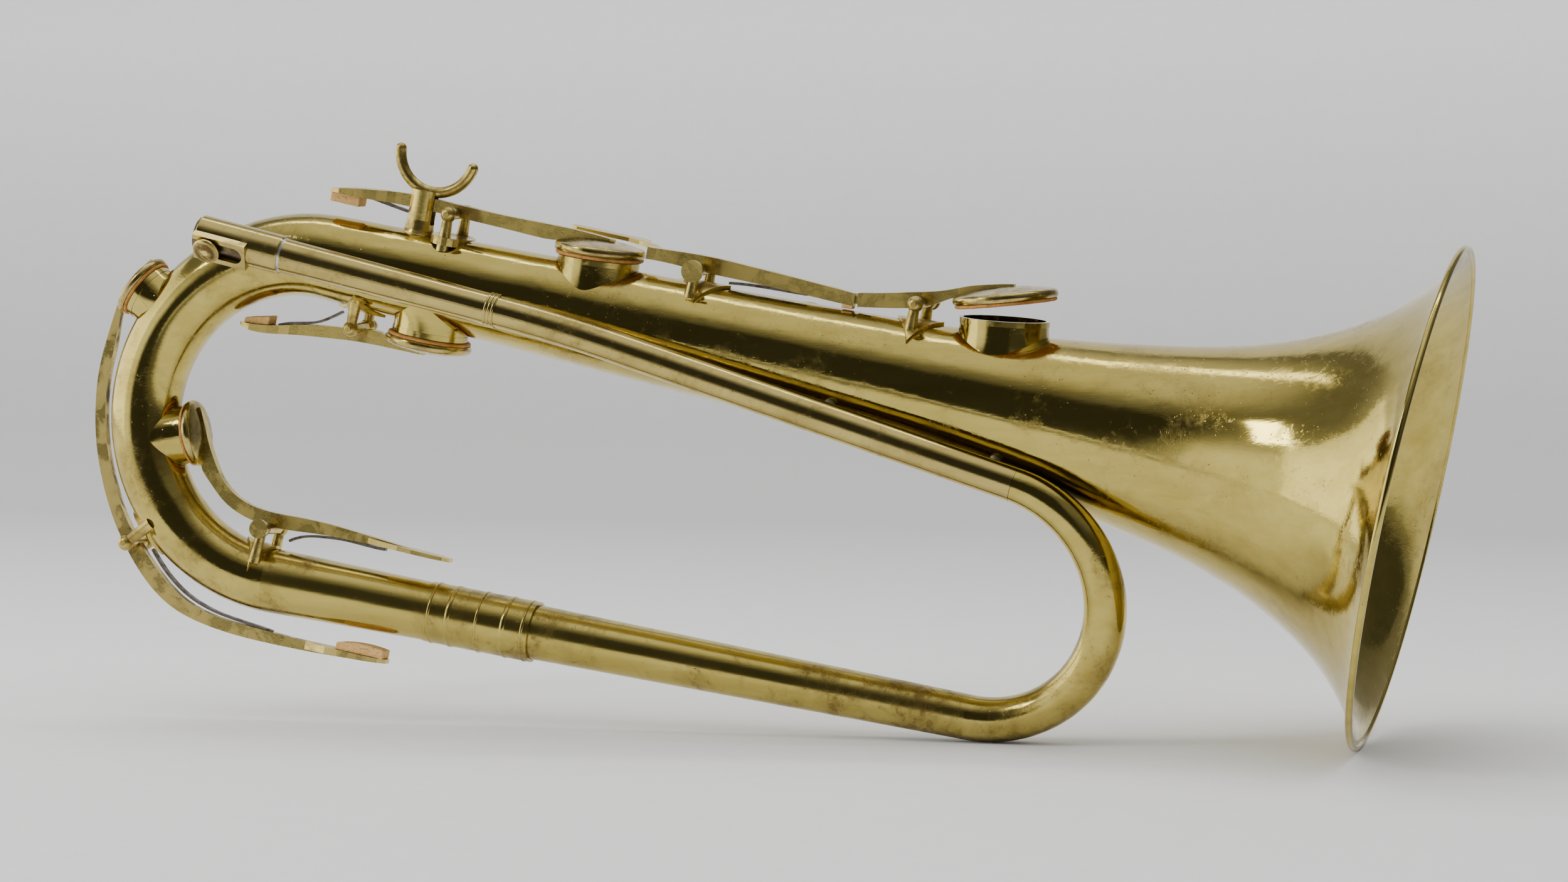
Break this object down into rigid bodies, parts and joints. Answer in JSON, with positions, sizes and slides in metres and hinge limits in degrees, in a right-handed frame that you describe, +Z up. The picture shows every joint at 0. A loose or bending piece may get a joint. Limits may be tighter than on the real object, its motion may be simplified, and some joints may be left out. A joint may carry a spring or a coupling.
{
  "type": "keyed_bugle",
  "caption": "Aged brass keyed bugle: conical folded tube, wide bell with wire rim, domed padded keys on hinged levers, hand crook and a sliding mouthpiece receiver with a clamp screw.",
  "frame": {"origin": "centre of the bounding box in plan, at its base, which is the floor the bell rim and small bow stand on", "axes": "+X runs towards the bell mouth along the horn's length, +Y runs away from the leadpipe side, +Z is up"},
  "size_m": [0.4358, 0.1538, 0.1827],
  "materials": {
    "brass": "aged, semi-gloss",
    "steel": "dark, worn",
    "leather": "matt",
    "cork": "matt",
    "solder": "dull",
    "tarnished_brass": "mottled, dull"
  },
  "bodies": {
    "horn": {"bell_rim_wire": "brass", "lower_tube_rear": "brass", "lower_tube_front": "brass", "lower_ferrule": "brass", "small_bow": "brass", "lead_pipe": "brass", "receiver_pipe": "brass", "leadpipe_collar": "brass", "tuning_sleeve": "brass", "crook_post": "brass", "hand_crook": "brass", "tone_chimney_1": "brass", "key_1_front_saddle": "brass", "key_1_rear_saddle": "brass", "tone_chimney_2": "brass", "key_2_saddle": "brass", "tone_chimney_3": "brass", "key_3_saddle": "brass", "tone_chimney_4": "brass", "key_4_saddle": "brass", "tone_chimney_5": "brass", "key_5_saddle": "brass", "tone_chimney_6": "brass", "key_6_saddle": "brass", "bell": "brass", "main_bow": "brass", "hinge_screws": "steel", "solder_seams": "solder"},
    "key_1_front_body": {"key_1_front_lever": "brass", "key_1_front_cup": "brass", "key_1_front_pad": "leather"},
    "key_1_rear_body": {"key_1_rear_lever": "brass", "key_1_bumper": "cork", "key_1_spring": "steel"},
    "tuning_shank_body": {"tuning_shank": "brass"},
    "clamp_screw_body": {"clamp_screw": "tarnished_brass"},
    "key_2_body": {"key_2_cup": "brass", "key_2_pad": "leather", "key_2_lever": "brass", "key_2_cork": "cork", "key_2_spring": "steel"},
    "key_3_body": {"key_3_cup": "brass", "key_3_pad": "leather", "key_3_lever": "brass", "key_3_cork": "cork", "key_3_spring": "steel"},
    "key_4_body": {"key_4_cup": "brass", "key_4_pad": "leather", "key_4_lever": "tarnished_brass", "key_4_cork": "cork", "key_4_spring": "steel"},
    "key_5_body": {"key_5_cup": "brass", "key_5_pad": "leather", "key_5_lever": "brass", "key_5_spring": "steel"},
    "key_6_body": {"key_6_cup": "brass", "key_6_pad": "leather", "key_6_lever": "brass", "key_6_cork": "cork", "key_6_spring": "steel"}
  },
  "joints": [
    {"name": "key_1_press", "type": "hinge", "parent": "horn", "child": "key_1_rear_body", "pos_m": [-0.01669, 0, 0.14288], "axis": [0, -1, 0], "range_deg": [0, 3.66], "stiffness_Nm_per_rad": 0.1, "springref_deg": -34.38},
    {"name": "key_1_close", "type": "hinge", "parent": "horn", "child": "key_1_front_body", "pos_m": [0.05263, 0, 0.13287], "axis": [0, 1, 0], "range_deg": [0, 9]},
    {"name": "key_2_press", "type": "hinge", "parent": "horn", "child": "key_2_body", "pos_m": [-0.09671, 0, 0.16034], "axis": [0, -1, 0], "range_deg": [0, 5.5], "stiffness_Nm_per_rad": 0.08, "springref_deg": -14.32},
    {"name": "key_3_press", "type": "hinge", "parent": "horn", "child": "key_3_body", "pos_m": [-0.13027, 0, 0.12446], "axis": [0, 1, 0], "range_deg": [0, 4], "stiffness_Nm_per_rad": 0.08, "springref_deg": -14.32},
    {"name": "key_4_press", "type": "hinge", "parent": "horn", "child": "key_4_body", "pos_m": [-0.20389, -0.00982, 0.05585], "axis": [0.0196, -0.9954, 0.0938], "range_deg": [0, 3], "stiffness_Nm_per_rad": 0.12, "springref_deg": -22.92},
    {"name": "key_5_press", "type": "hinge", "parent": "horn", "child": "key_5_body", "pos_m": [-0.15786, -0.00843, 0.06097], "axis": [-0.0196, 0.9954, -0.0938], "range_deg": [0, 4.6], "stiffness_Nm_per_rad": 0.08, "springref_deg": -14.32},
    {"name": "key_6_press", "type": "hinge", "parent": "horn", "child": "key_6_body", "pos_m": [-0.03187, 0.02199, 0.12846], "axis": [0.2011, -0.1908, 0.9608], "range_deg": [0, 5], "stiffness_Nm_per_rad": 0.08, "springref_deg": -14.32},
    {"name": "tuning_slide", "type": "slide", "parent": "horn", "child": "tuning_shank_body", "axis": [-0.9711, 0, 0.2389], "range_m": [-0.006, 0.008]},
    {"name": "clamp_turn", "type": "hinge", "parent": "tuning_shank_body", "child": "clamp_screw_body", "pos_m": [-0.16904, -0.02738, 0.15103], "axis": [-0.1335, -0.8292, -0.5428], "range_deg": [0, 270]}
  ],
  "couplings": [
    {"joint": "key_1_close", "follows": "key_1_press", "ratio": 2.4589}
  ]
}
